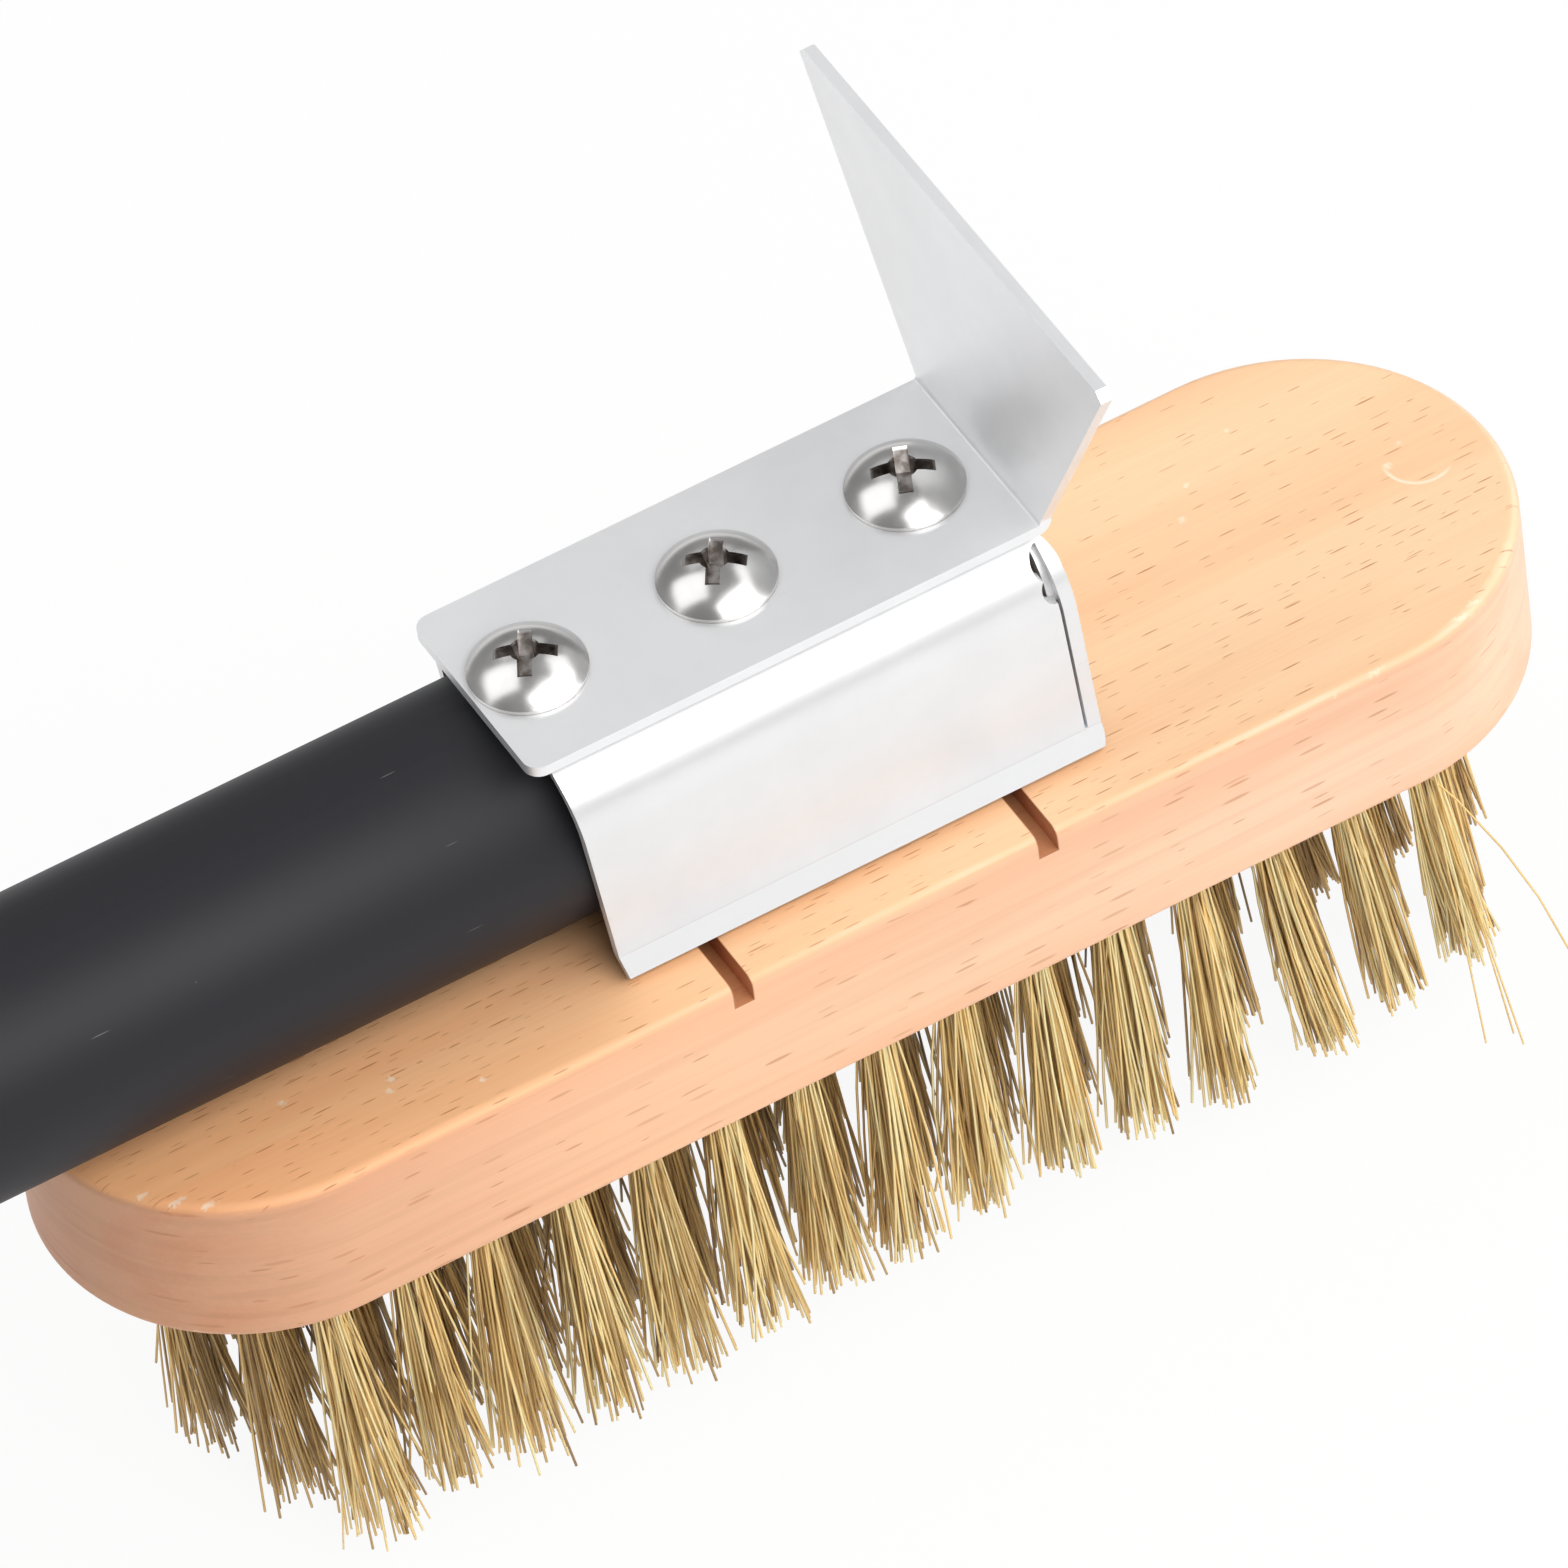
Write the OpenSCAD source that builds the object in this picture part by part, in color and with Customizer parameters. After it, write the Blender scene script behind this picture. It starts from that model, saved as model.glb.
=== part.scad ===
// Pizza oven brush: a beech block set with brass wire tufts, a tube handle held by a folded
// bracket, and a bent sheet scraper, all clamped by three long screws.
// Millimetres, +Z up. The origin is below the block's centre, in the plane of the wire tips.
// The handle leaves towards -X and the scraper blade stands at the +X end.

/* [Wood block] */
// Length of the block over its round ends
block_l = 171; // [150:1:230]
// Width of the block
block_w = 47; // [44:1:64]
// Thickness of the block
block_t = 19.5; // [18.5:0.5:30]
// Rounding along the top and bottom edges
block_round = 1.2; // [0.5:0.1:2.5]
// Width of the two saw cuts across the top
kerf_w = 2.2; // [1:0.1:4]
// Depth of the two saw cuts
kerf_depth = 2.8; // [1:0.1:4]
// Distance between the two saw cuts
kerf_spacing = 35.6; // [26:0.2:44]
// Middle of the two saw cuts, measured from the block's centre
kerf_mid = 1.5; // [-4:0.1:4]

/* [Bristles] */
// Length of the wire that stands out of the block
tuft_free = 36.5; // [20:0.5:50]
// Distance between tufts along a row
tuft_pitch = 9.2; // [8:0.1:12]
// Centre of the outer rows to the block's side
row_inset = 5.4; // [4.6:0.1:7]
// Least distance from a tuft's centre to the block's edge
edge_min = 5.2; // [4:0.1:6]
// Diameter of the wire bundle where it is set in the wood
tuft_root_d = 3.5; // [2.5:0.1:4.5]
// Diameter over the spread wire ends
tuft_tip_d = 7.8; // [4.6:0.1:8]
// Least clearance between the spread tips of two tufts
tuft_clear = 0.6; // [0.4:0.1:2]
// Outward lean of the two outer rows, and half of it for the rows next to the middle one
tuft_splay = 5.5; // [0:0.5:8]
// Lean of all tufts towards the bracket's closed end
tuft_drift = 2; // [0:0.5:4]
// Depth of the flutes between the wire bundles of a tuft, as a share of its radius
flute_share = 0.16; // [0.05:0.01:0.3]
// Depth of the drilled tuft holes
tuft_hole_depth = 9; // [7:0.5:9]
// Thickness of the flat wire that anchors each tuft
staple_t = 0.6; // [0.4:0.1:0.8]
// Height of the flat wire that anchors each tuft
staple_h = 1.6; // [1:0.1:2]

/* [Handle] */
// Outside diameter of the handle tube
tube_d = 28; // [24:0.5:32]
// Wall of the handle tube
tube_wall = 1.2; // [0.8:0.1:2.5]
// Length of the handle that stands clear of the block's end
handle_reach = 330; // [150:5:400]
// Thickness of the end plug's flange
plug_flange = 3; // [2:0.5:6]
// Length of the end plug inside the tube
plug_depth = 18; // [8:1:40]

/* [Bracket] */
// Sheet thickness of the bracket
bracket_t = 1.2; // [0.8:0.1:2]
// Outer bend radius along the bracket's shoulders
shoulder_r = 9; // [6:0.5:11]
// Outer bend radius at the top of its closed end
end_bend_r = 3.6; // [2.8:0.1:4.4]
// Open end of the bracket at its top, measured from the block's centre
bracket_left = -28.4; // [-36:0.2:-26]
// Closed end of the bracket at its top, measured from the block's centre
bracket_right = 29.2; // [27:0.1:40]
// Slope of the open end's cut, so that the feet start further in than the top
open_slope = 5.5; // [0:0.5:10]
// Lean of the closed end, out towards its lower edge
end_lean = 3.5; // [0:0.5:8]
// Width of the flared foot, measured down its slope
foot_w = 2.4; // [1.5:0.1:4]
// Slope of the foot from the horizontal
foot_angle = 45; // [30:1:60]
// Width of the slit between a side wall and the closed end
slit_w = 0.35; // [0.2:0.05:0.8]
// Distance between the slit and the closed end's sheet
slit_back = 0.3; // [0.2:0.05:0.6]
// Radius of the two relief scallops at each corner
scallop_r = 1.6; // [1.4:0.1:2]
// Height of the lower scallop's centre above the start of the shoulder
scallop_rise = 3.2; // [2:0.1:4]
// Distance between the two scallops along the corner
scallop_step = 2.5; // [2.2:0.1:2.8]
// Width of the opening between the scallops' edge and the sheet that lines the corner
corner_gap = 1; // [0.6:0.1:1]

/* [Scraper] */
// Sheet thickness of the scraper
scraper_t = 1.3; // [1:0.1:3]
// Width of the clamped plate
plate_w = 25; // [20:0.5:30]
// Length by which the plate passes the bracket's open end
plate_overhang = 2.4; // [0.5:0.1:6]
// Length by which the blade's outer face passes the bracket's closed end
blade_past = 0.2; // [0:0.1:2]
// Length of the blade above the plate
blade_h = 33.6; // [20:0.2:50]
// Length of the blade's straight top edge
blade_w = 60; // [40:0.5:80]
// Inner radius of the bend between plate and blade
bend_r = 0.4; // [0.3:0.1:3]
// Corner radius of the plate's free end
plate_corner_r = 1.8; // [0.5:0.1:4]
// Corner radius at the ends of the blade's top edge
blade_corner_r = 1; // [0.5:0.1:3]

/* [Screws] */
// Diameter of the screw heads
head_d = 12.5; // [10:0.1:15]
// Height of the domed part of a head
head_dome = 2.7; // [1.5:0.1:3.5]
// Thickness of the rim below the dome
head_rim = 0.5; // [0.3:0.1:1]
// Diameter of the shanks
shank_d = 4.8; // [3.5:0.1:6]
// Distance between the screws
screw_pitch = 21.9; // [16:0.1:24]
// First screw from the plate's free end
screw_inset = 6.6; // [6.3:0.1:10]
// Depth to which the screws bite into the wood
screw_bite = 9; // [6:0.5:9]
// Length of the screws' points
screw_point = 4; // [2:0.5:6]
// Turn of each head's cross recess
screw_turns = [60, 56, 66];
// Width across a pair of opposite wings of the cross recess
recess_span = 6.6; // [4:0.1:8]
// Width of one wing of the cross recess
recess_wing = 1.5; // [0.8:0.1:2]
// Depth of the cross recess
recess_depth = 2.5; // [1:0.1:2.6]

/* [Fits] */
// Gap between the tube and what it lies on or under
tube_gap = 0.1; // [0.05:0.05:0.3]
// Gap all round a shank, a plug or a tuft root in its hole
hole_gap = 0.1; // [0.05:0.05:0.3]
// Gap between the bracket's feet and the wood
foot_gap = 0.3; // [0.1:0.05:0.6]
// Gap between the tube's end and the bend of the bracket's closed end
tube_end_gap = 0.3; // [0.2:0.1:2]

/* [Hidden] */
$fn = 48;
past = 1; // how far a cutter reaches past the face that it opens

// Heights
block_z = tuft_free;
deck_z = block_z + block_t;
tube_z = deck_z + tube_gap + tube_d / 2;
saddle_z = deck_z + tube_gap + tube_d + tube_gap + bracket_t;
plate_z = saddle_z + scraper_t;

// Places along the brush
block_r = block_w / 2;
block_straight = block_l - block_w;
plate_left = bracket_left - plate_overhang;
blade_x = bracket_right + blade_past; // outer face of the blade
tube_right = bracket_right - end_bend_r - tube_end_gap;
tube_left = -block_l / 2 - handle_reach;
screw_xs = [for (i = [0:2]) plate_left + screw_inset + i * screw_pitch];
shank_hole_d = shank_d + 2 * hole_gap;

// The bracket's section: the walls stand clear of the tube by the wall gap
wall_gap = 0.4;
bracket_half = tube_d / 2 + wall_gap + bracket_t;
crease_z = deck_z + foot_gap + bracket_t * cos(foot_angle) + foot_w * sin(foot_angle);
shoulder_z = saddle_z - shoulder_r;
foot_run = foot_w * cos(foot_angle);
lining_half = bracket_half - 2 * bracket_t;
lining_top = saddle_z - 2 * bracket_t;

// The bracket's side view: the closed end turns about the centre of its bend
bend_x = bracket_right - end_bend_r;
bend_z = saddle_z - end_bend_r;
foot_right = bend_x + end_bend_r / cos(end_lean) + (bend_z - crease_z) * tan(end_lean);

// The tuft field: five rows, each a node of its own
tuft_rows = 5;
row_step = (block_w - 2 * row_inset) / (tuft_rows - 1);
field_r = block_r - edge_min;
root_top = block_z + tuft_hole_depth - hole_gap;
fold_h = 1.2; // wire that loops over the staple
staple_z = root_top - fold_h - staple_h;
tip_d = min(tuft_tip_d, tuft_pitch - tuft_clear, row_step - tuft_clear);
function row_y(row) = (row - (tuft_rows - 1) / 2) * row_step;
function row_reach(row) = block_straight / 2 + sqrt(max(0, pow(field_r, 2) - pow(row_y(row), 2)));
function row_shift(row) = (row % 2) * tuft_pitch / 2;
function row_steps(row) = floor((row_reach(row) - row_shift(row)) / tuft_pitch);
// Every second row is shifted by half a pitch, and all rows are symmetric about the middle
function row_xs(row) = [
  for (i = [-row_steps(row) - (row % 2):row_steps(row)]) row_shift(row) + i * tuft_pitch
];

// A rectangle from x0 to x1 and from 0 to the given height, with round top corners
module arch(x0, x1, height, radius, round_left = true) {
  left = round_left ? x0 + radius : x0;
  translate([x0, 0]) square([x1 - x0, height - radius]);
  translate([left, 0]) square([x1 - radius - left, height]);
  translate([x1 - radius, height - radius]) circle(radius);
  if (round_left) translate([left, height - radius]) circle(radius);
}

// A rectangle round its own centre with four round corners
module rounded(width, height, radius) {
  square([width - 2 * radius, height], center = true);
  square([width, height - 2 * radius], center = true);
  for (x = [-1, 1], y = [-1, 1])
    translate([x * (width / 2 - radius), y * (height / 2 - radius)]) circle(radius);
}

// Turns a profile drawn in Y and Z into a bar along X
module along_x(x0, x1) {
  translate([x0, 0, 0]) rotate([90, 0, 90]) linear_extrude(x1 - x0) children();
}

// Turns a profile drawn in X and Z into a bar along Y, centred
module along_y(width) {
  translate([0, width / 2, 0]) rotate([90, 0, 0]) linear_extrude(width) children();
}

module block_blank() {
  translate([0, 0, block_z + block_t / 2]) {
    along_x(-block_straight / 2, block_straight / 2) rounded(block_w, block_t, block_round);
    for (side = [-1, 1]) translate([side * block_straight / 2, 0, 0])
      rotate_extrude() intersection() {
        rounded(block_w, block_t, block_round);
        translate([0, -block_t]) square([block_w, 2 * block_t]);
      }
  }
}

module wood_block() {
  color("burlywood") difference() {
    block_blank();
    for (row = [0:tuft_rows - 1], x = row_xs(row))
      translate([x, row_y(row), block_z - past])
        cylinder(h = tuft_hole_depth + past, d = tuft_root_d + 2 * hole_gap);
    for (x = screw_xs) translate([x, 0, deck_z - screw_bite - hole_gap])
      cylinder(h = screw_bite + hole_gap + past, d = shank_hole_d);
    for (side = [-1, 1])
      translate([kerf_mid + side * kerf_spacing / 2 - kerf_w / 2, -block_w, deck_z - kerf_depth])
        cube([kerf_w, 2 * block_w, kerf_depth + past]);
  }
}

// One tuft: a round root folded over its staple, and a fluted bundle that spreads to the tip
flutes = 7;
function flute_ring(radius) = [
  for (i = [0:2 * flutes - 1])
    let (r = radius * (i % 2 == 0 ? 1 : 1 - flute_share), a = i * 180 / flutes)
      [r * cos(a), r * sin(a)]
];

module tuft(turn, splay) {
  seat = 0.5; // length of the bundle inside the root
  neck_d = tuft_root_d - 2 * hole_gap;
  reach = (block_z + seat) / cos(splay) + past; // cut back to the plane of the tips
  difference() {
    union() {
      translate([0, 0, block_z]) cylinder(h = root_top - block_z, d = tuft_root_d);
      intersection() {
        translate([0, 0, block_z]) rotate([splay, -tuft_drift, 0]) rotate(turn)
          translate([0, 0, seat]) mirror([0, 0, 1])
            linear_extrude(reach, scale = tip_d / neck_d) polygon(flute_ring(neck_d / 2));
        translate([-block_z, -block_z, 0]) cube([2 * block_z, 2 * block_z, block_z + 2 * seat]);
      }
    }
    translate([0, 0, staple_z + staple_h / 2])
      cube([2 * tuft_root_d, staple_t + 2 * hole_gap, staple_h + 2 * hole_gap], center = true);
  }
}

module tuft_row(row) {
  splay = tuft_splay * (2 * row / (tuft_rows - 1) - 1);
  color("goldenrod") for (x = row_xs(row))
    translate([x, row_y(row), 0]) tuft(7 * x + 11 * row, splay);
}

module tuft_staples() {
  color("silver") for (row = [0:tuft_rows - 1], x = row_xs(row))
    translate([x, row_y(row), staple_z + staple_h / 2])
      cube([tuft_root_d, staple_t, staple_h], center = true);
}

module screw_holes(from_z, to_z) {
  for (x = screw_xs) translate([x, 0, from_z]) cylinder(h = to_z - from_z, d = shank_hole_d);
}

module handle_tube() {
  color("dimgray") difference() {
    translate([tube_left, 0, tube_z]) rotate([0, 90, 0])
      cylinder(h = tube_right - tube_left, d = tube_d);
    translate([tube_left - past, 0, tube_z]) rotate([0, 90, 0])
      cylinder(h = tube_right - tube_left + 2 * past, d = tube_d - 2 * tube_wall);
    screw_holes(deck_z - past, saddle_z + past);
  }
}

module handle_plug() {
  edge_r = plug_flange / 3;
  color("black") translate([tube_left, 0, tube_z]) rotate([0, -90, 0]) {
    rotate_extrude() {
      square([tube_d / 2 - edge_r, plug_flange]);
      square([tube_d / 2, plug_flange - edge_r]);
      translate([tube_d / 2 - edge_r, plug_flange - edge_r]) circle(edge_r);
    }
    translate([0, 0, -plug_depth]) cylinder(h = plug_depth, d = tube_d - 2 * tube_wall - 2 * hole_gap);
  }
}

// The bracket's side view, shrunk by inset, from the given left end and down to low
module side_view(inset, left, low) {
  radius = end_bend_r - inset;
  translate([left, low]) square([bend_x - left, saddle_z - inset - low]);
  translate([bend_x, bend_z]) circle(radius);
  intersection() {
    translate([bend_x, bend_z]) rotate(end_lean)
      translate([-end_bend_r, -2 * tube_d]) square([end_bend_r + radius, 2 * tube_d]);
    translate([left, low]) square([2 * (bracket_right - left), bend_z - low]);
  }
}

// The bracket's envelope, shrunk by inset: bent shoulders, and a closed end bent at its top
module bracket_form(inset, left, low) {
  half = bracket_half - inset;
  height = saddle_z - inset - low;
  intersection() {
    translate([0, 0, low]) along_x(left, 2 * bracket_right) arch(-half, half, height, shoulder_r - inset);
    along_y(2 * half) side_view(inset, left, low);
  }
}

// The flared foot along one side, drawn on the +Y side. It laps into the wall above its crease.
module foot_section() {
  lap = bracket_t;
  drop = foot_w * sin(foot_angle);
  back = bracket_t * sin(foot_angle);
  down = bracket_t * cos(foot_angle);
  polygon([
    [bracket_half - bracket_t, crease_z + lap],
    [bracket_half, crease_z + lap],
    [bracket_half, crease_z],
    [bracket_half + foot_run, crease_z - drop],
    [bracket_half + foot_run - back, crease_z - drop - down],
    [bracket_half - bracket_t, crease_z - bracket_t * tan((90 - foot_angle) / 2)]
  ]);
}

module feet() {
  corner_r = 2; // plan corner of each foot below the closed end
  corner_y = bracket_half + foot_run - 0.8 * corner_r;
  intersection() {
    union() for (side = [0, 1]) mirror([0, side, 0]) along_x(bracket_left, foot_right + past) foot_section();
    translate([bracket_left - past, 0, deck_z]) linear_extrude(tube_d) {
      along = foot_right - bracket_left + past;
      translate([0, -tube_d]) square([along - corner_r, 2 * tube_d]);
      translate([0, -corner_y]) square([along, 2 * corner_y]);
      for (side = [-1, 1]) translate([along - corner_r, side * corner_y]) circle(corner_r);
    }
  }
}

// The slit between a side wall and the closed end, with two scallops above it. They follow the
// lean of the closed end, stop just before its sheet and go no deeper than the side's own sheet.
module corner_relief() {
  scallop_z = shoulder_z + scallop_rise;
  end_x = end_bend_r - bracket_t - slit_back;
  depth = bracket_t + 0.1;
  inner_half = bracket_half - depth;
  translate([bend_x, 0, bend_z]) rotate([0, -end_lean, 0]) {
    translate([end_x - slit_w, inner_half, crease_z - bend_z])
      cube([slit_w, depth + past, scallop_z - crease_z]);
    difference() {
      for (i = [0, 1]) translate([end_x, 0, scallop_z + i * scallop_step - bend_z])
        rotate([-90, 0, 0]) linear_extrude(bracket_half + past) intersection() {
          circle(scallop_r);
          translate([-2 * scallop_r, -scallop_r]) square(2 * scallop_r);
        }
      translate([-tube_d, 0, -bend_z]) along_x(0, 2 * tube_d)
        arch(-inner_half, inner_half, saddle_z - depth, shoulder_r - depth);
    }
  }
}

// The hollow of the bracket. Beside the closed end a second layer of sheet is left standing
// behind the scallops.
module bracket_hollow() {
  far_left = bracket_left - tube_d;
  lining_x = bracket_right - bracket_t - slit_back - scallop_r + corner_gap;
  low = shoulder_z + scallop_rise - scallop_r - 0.5;
  difference() {
    bracket_form(bracket_t, far_left, deck_z - past);
    for (side = [0, 1]) mirror([0, side, 0]) difference() {
      translate([lining_x, bracket_half - shoulder_r, low]) cube(2 * shoulder_r);
      along_x(bend_x - past, lining_x + 3 * shoulder_r)
        translate([0, deck_z]) arch(-lining_half, lining_half, lining_top - deck_z, shoulder_r - 2 * bracket_t);
    }
  }
}

// Everything beyond the sloping cut of the open end
module open_end_cut() {
  reach = 2 * tube_d;
  translate([bracket_left, 0, saddle_z + past]) rotate([0, -open_slope, 0])
    translate([-reach, -reach, -reach]) cube([reach, 2 * reach, reach]);
}

module bracket() {
  color("gainsboro") difference() {
    union() {
      difference() {
        bracket_form(0, bracket_left, crease_z);
        bracket_hollow();
      }
      feet();
    }
    open_end_cut();
    for (side = [0, 1]) mirror([0, side, 0]) corner_relief();
    screw_holes(saddle_z - 2 * bracket_t, saddle_z + past);
  }
}

// The clamped plate, with two round corners at its free end
module plate_outline(right) {
  reach = right - plate_left;
  translate([plate_left + reach / 2, 0]) rounded(reach, plate_w, plate_corner_r);
  translate([right - reach / 2, -plate_w / 2]) square([reach / 2, plate_w]);
}

module scraper() {
  outer_r = bend_r + scraper_t;
  turn_x = blade_x - outer_r;
  turn_z = saddle_z + outer_r;
  color("silver") difference() {
    union() {
      translate([0, 0, saddle_z]) linear_extrude(scraper_t) plate_outline(turn_x);
      along_y(plate_w) translate([turn_x, turn_z]) intersection() {
        difference() {
          circle(outer_r);
          circle(bend_r);
        }
        translate([0, -outer_r]) square(outer_r);
      }
      translate([blade_x - scraper_t, 0, turn_z])
        along_x(0, scraper_t) blade_outline(plate_z + blade_h - turn_z);
    }
    screw_holes(saddle_z - past, plate_z + past);
  }
}

// The blade flares from the bend to its long top edge
module blade_outline(top) {
  polygon([
    [-plate_w / 2, 0], [plate_w / 2, 0],
    [blade_w / 2, top - blade_corner_r], [blade_w / 2 - blade_corner_r, top],
    [-blade_w / 2 + blade_corner_r, top], [-blade_w / 2, top - blade_corner_r]
  ]);
}

module screw(index) {
  ball_r = (pow(head_d / 2, 2) + pow(head_dome, 2)) / (2 * head_dome);
  tip_z = deck_z - screw_bite;
  dome_z = plate_z + head_rim;
  color("lightgray") translate([screw_xs[index], 0, 0]) difference() {
    union() {
      translate([0, 0, plate_z]) cylinder(h = head_rim, d = head_d);
      intersection() {
        translate([0, 0, dome_z + head_dome - ball_r]) sphere(ball_r);
        translate([0, 0, dome_z]) cylinder(h = head_dome + past, d = head_d);
      }
      translate([0, 0, tip_z + screw_point]) cylinder(h = plate_z - tip_z - screw_point, d = shank_d);
      translate([0, 0, tip_z]) cylinder(h = screw_point, d1 = shank_d / 6, d2 = shank_d);
    }
    rotate(screw_turns[index]) translate([0, 0, dome_z + head_dome]) cross_recess();
  }
}

// Two crossed wings and a centre cone, which narrow towards the bottom of the recess
module cross_recess() {
  top_half = recess_span / 2;
  low_half = recess_span / 5;
  core_d = recess_span * 0.56;
  translate([0, 0, -recess_depth]) cylinder(h = recess_depth + past, d1 = 0.6 * core_d, d2 = core_d);
  for (turn = [0, 90]) rotate(turn) along_y(recess_wing)
    polygon([
      [-low_half, -recess_depth], [low_half, -recess_depth],
      [top_half, -head_dome / 4], [top_half, past], [-top_half, past], [-top_half, -head_dome / 4]
    ]);
}

wood_block();
tuft_row(0);  // tuft_row_1
tuft_row(1);  // tuft_row_2
tuft_row(2);  // tuft_row_3
tuft_row(3);  // tuft_row_4
tuft_row(4);  // tuft_row_5
tuft_staples();
handle_tube();
handle_plug();
bracket();
scraper();
screw(0);  // screw_rear
screw(1);  // screw_middle
screw(2);  // screw_front
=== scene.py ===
# Pizza oven brush: beech block, brass wire tufts, black tube handle, folded bracket and scraper
import math
import random

import bpy
from mathutils import Matrix, Vector


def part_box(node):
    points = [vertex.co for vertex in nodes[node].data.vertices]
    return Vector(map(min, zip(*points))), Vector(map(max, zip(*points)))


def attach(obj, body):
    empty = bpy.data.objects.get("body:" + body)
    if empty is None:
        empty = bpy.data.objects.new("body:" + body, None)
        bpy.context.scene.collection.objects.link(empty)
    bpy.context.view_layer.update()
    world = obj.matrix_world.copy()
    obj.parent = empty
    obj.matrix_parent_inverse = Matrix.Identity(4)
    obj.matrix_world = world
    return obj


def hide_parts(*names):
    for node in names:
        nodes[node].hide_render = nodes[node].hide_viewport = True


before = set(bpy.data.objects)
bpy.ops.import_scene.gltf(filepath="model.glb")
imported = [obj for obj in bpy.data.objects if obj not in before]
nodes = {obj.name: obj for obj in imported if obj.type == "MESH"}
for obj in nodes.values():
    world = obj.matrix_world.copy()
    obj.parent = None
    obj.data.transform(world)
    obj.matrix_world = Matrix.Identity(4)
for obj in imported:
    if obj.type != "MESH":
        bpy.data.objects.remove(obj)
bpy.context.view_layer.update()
mm = 0.001
print("frame loaded:", len(nodes), "CAD nodes")

# the places that the pieces and the patterns start from
blockLow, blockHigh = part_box("wood_block")
deckZ = blockHigh.z

view = {
    "azimuth": -23.908,           # degrees round from the front, towards the handle
    "elevation": 46.914,
    "roll": -8.108,
    "distance": 2.0272,           # metres
    "aim": (0.000883, -0.00203),  # the point on the block's top at the picture's centre
    "focal": 20000,               # in pixels, so long that there is hardly any perspective
    "frame": 1568,                # pixels along a side
    "sensor": 36,                 # mm
    "clipEnd": 20,                # metres
}


def placeCamera():
    az, el, roll = (math.radians(view[k]) for k in ("azimuth", "elevation", "roll"))
    back = Vector((math.sin(az) * math.cos(el), -math.cos(az) * math.cos(el), math.sin(el)))
    level = Vector((math.cos(az), math.sin(az), 0))
    right = level * math.cos(roll) + back.cross(level) * math.sin(roll)
    up = back.cross(right)
    aim = Vector((*view["aim"], deckZ))
    data = bpy.data.cameras.new("camera")
    data.sensor_width = view["sensor"]
    data.lens = view["focal"] / view["frame"] * data.sensor_width
    data.clip_end = view["clipEnd"]
    cam = bpy.data.objects.new("camera", data)
    turn = Matrix((right, up, back)).transposed().to_4x4()
    cam.matrix_world = Matrix.Translation(aim + back * view["distance"]) @ turn
    bpy.context.collection.objects.link(cam)
    bpy.context.scene.camera = cam


placeCamera()
bpy.context.scene.view_settings.view_transform = "Standard"
print("camera placed")


# small helpers for the node trees
def shader(name):
    mat = bpy.data.materials.new(name)
    mat.use_nodes = True
    tree = mat.node_tree
    return mat, tree, tree.nodes["Principled BSDF"]


def plug(tree, socket, value):
    if isinstance(value, (int, float)):
        socket.default_value = value
    elif isinstance(value, tuple):
        socket.default_value = (*value, 1)
    else:
        tree.links.new(value, socket)


def math2(tree, kind, a, b=0, c=0, clamp=False):
    node = tree.nodes.new("ShaderNodeMath")
    node.operation = kind
    node.use_clamp = clamp
    for socket, value in zip(node.inputs, (a, b, c)):
        plug(tree, socket, value)
    return node.outputs[0]


def times(tree, a, b):
    return math2(tree, "MULTIPLY", a, b)


def minus(tree, a, b):
    return math2(tree, "SUBTRACT", a, b)


def between(tree, share, low, high):
    # low at a share of 0, high at 1
    return math2(tree, "MULTIPLY_ADD", share, high - low, low)


def vector2(tree, kind, a, b=None):
    node = tree.nodes.new("ShaderNodeVectorMath")
    node.operation = kind
    tree.links.new(a, node.inputs[0])
    if isinstance(b, (list, tuple)):
        node.inputs[1].default_value = b
    elif b is not None:
        tree.links.new(b, node.inputs[1])
    return node.outputs["Value" if kind in ("LENGTH", "DOT_PRODUCT") else "Vector"]


def split(tree, vector):
    node = tree.nodes.new("ShaderNodeSeparateXYZ")
    tree.links.new(vector, node.inputs[0])
    return node.outputs


def objectSpace(tree, scale, place=(0, 0, 0)):
    # object coordinates measured from a place, in pattern units
    coords = tree.nodes.new("ShaderNodeTexCoord")
    mapping = tree.nodes.new("ShaderNodeMapping")
    mapping.inputs["Location"].default_value = [-p * s for p, s in zip(place, scale)]
    mapping.inputs["Scale"].default_value = scale
    tree.links.new(coords.outputs["Object"], mapping.inputs["Vector"])
    return mapping.outputs["Vector"]


def heightOver(tree, z):
    return split(tree, objectSpace(tree, (1, 1, 1), (0, 0, z)))["Z"]


def away(tree, place, size):
    # distance from a place, as a share of the size along each axis
    return vector2(tree, "LENGTH", objectSpace(tree, [1 / s for s in size], place))


def noise(tree, scale, detail=3, rough=0.5, distort=0.0):
    tex = tree.nodes.new("ShaderNodeTexNoise")
    tex.inputs["Scale"].default_value = 1
    tex.inputs["Detail"].default_value = detail
    tex.inputs["Roughness"].default_value = rough
    tex.inputs["Distortion"].default_value = distort
    tree.links.new(objectSpace(tree, scale), tex.inputs["Vector"])
    return tex.outputs["Fac"]


def grey(v):
    return (v, v, v)


def ramp(tree, value, *stops):
    node = tree.nodes.new("ShaderNodeValToRGB")
    while len(node.color_ramp.elements) < len(stops):
        node.color_ramp.elements.new(0.5)
    for element, (at, color) in zip(node.color_ramp.elements, stops):
        element.position = at
        element.color = (*color, 1)
    tree.links.new(value, node.inputs["Fac"])
    return node.outputs["Color"]


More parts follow.
